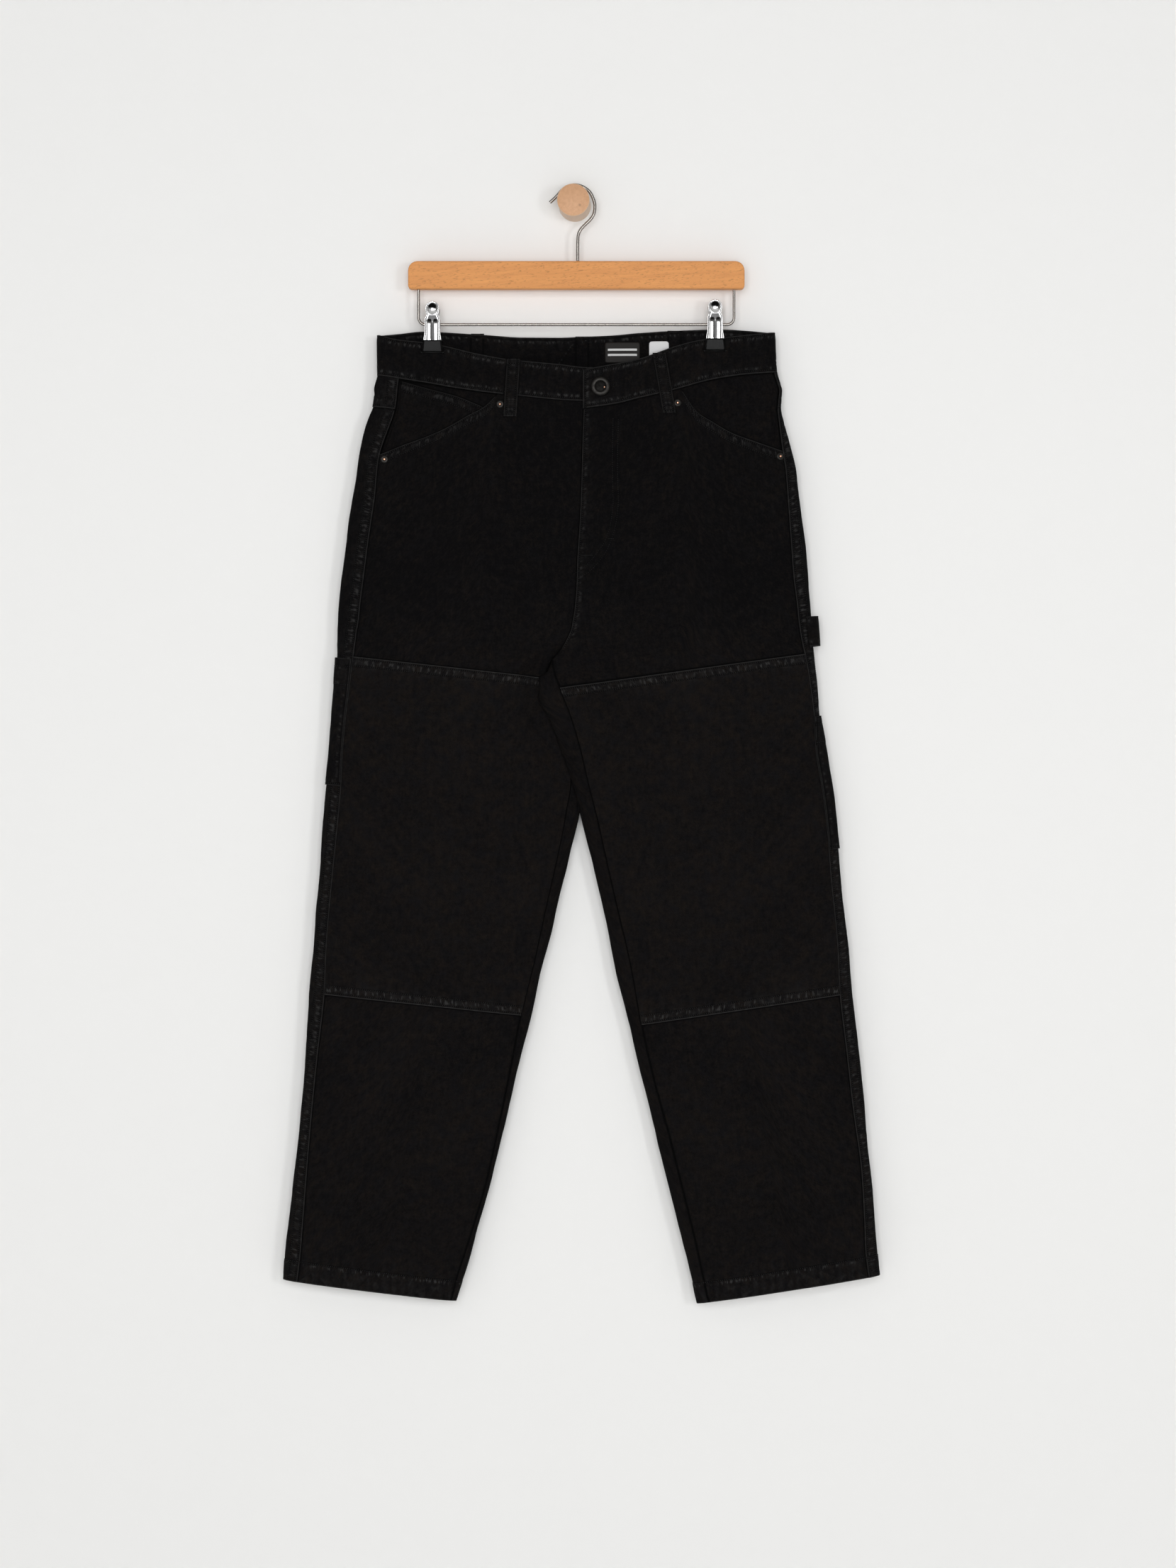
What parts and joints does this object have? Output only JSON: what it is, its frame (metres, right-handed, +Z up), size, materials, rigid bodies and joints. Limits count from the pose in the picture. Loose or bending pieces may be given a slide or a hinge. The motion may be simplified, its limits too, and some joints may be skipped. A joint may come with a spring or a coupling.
{
  "type": "carpenter pants on a clip hanger and wall peg",
  "caption": "Black carpenter pants with double knees, hung flat by the waistband from a clip hanger whose hook lies on a round wooden wall peg.",
  "frame": {"origin": "centre of the wall peg's flat back face, where it meets the wall", "axes": "+Z up, +Y into the wall, -Y towards the viewer, +X to the viewer's right (the wearer's left)"},
  "size_m": [0.637, 0.044, 1.1928],
  "materials": {
    "twill": "heavy cotton twill, washed black, matt, paler along the seams",
    "label": "woven satin, black, bare",
    "size_label": "woven satin, grey, bare",
    "gunmetal": "dark burnished shank button",
    "copper": "dull copper rivet in a dark ring",
    "chrome": "bright plated steel",
    "rubber": "matt black pads",
    "beech": "orange-tan varnished beech",
    "pale_beech": "pale oiled beech"
  },
  "bodies": {
    "root": {"front_right_hip": "twill", "front_right_thigh": "twill", "front_right_shin": "twill", "front_left_hip": "twill", "front_left_thigh": "twill", "front_left_shin": "twill", "back_right_hip": "twill", "back_right_thigh": "twill", "back_right_shin": "twill", "back_left_hip": "twill", "back_left_thigh": "twill", "back_left_shin": "twill", "yoke_right": "twill", "yoke_left": "twill", "waistband": "twill", "pocket_facing_right": "twill", "pocket_facing_left": "twill", "coin_pocket": "twill", "knee_patch_right": "twill", "knee_patch_left": "twill", "tool_pocket_right": "twill", "tool_pocket_left": "twill", "hammer_loop": "twill", "belt_loop_front_right": "twill", "belt_loop_front_left": "twill", "belt_loop_back_right": "twill", "belt_loop_back_centre": "twill", "belt_loop_back_left": "twill", "button": "gunmetal", "rivet_right_top": "copper", "rivet_right_low": "copper", "rivet_left_top": "copper", "rivet_left_low": "copper", "label_main": "label", "label_size": "size_label", "hanger_bar": "beech", "hook": "chrome", "trouser_wire": "chrome", "clip_right_jaw_front": "chrome", "clip_right_jaw_back": "chrome", "clip_right_pad_front": "rubber", "clip_right_pad_back": "rubber", "clip_right_spring": "chrome", "clip_left_jaw_front": "chrome", "clip_left_jaw_back": "chrome", "clip_left_pad_front": "rubber", "clip_left_pad_back": "rubber", "clip_left_spring": "chrome", "wall_peg": "pale_beech"}
  },
  "joints": []
}
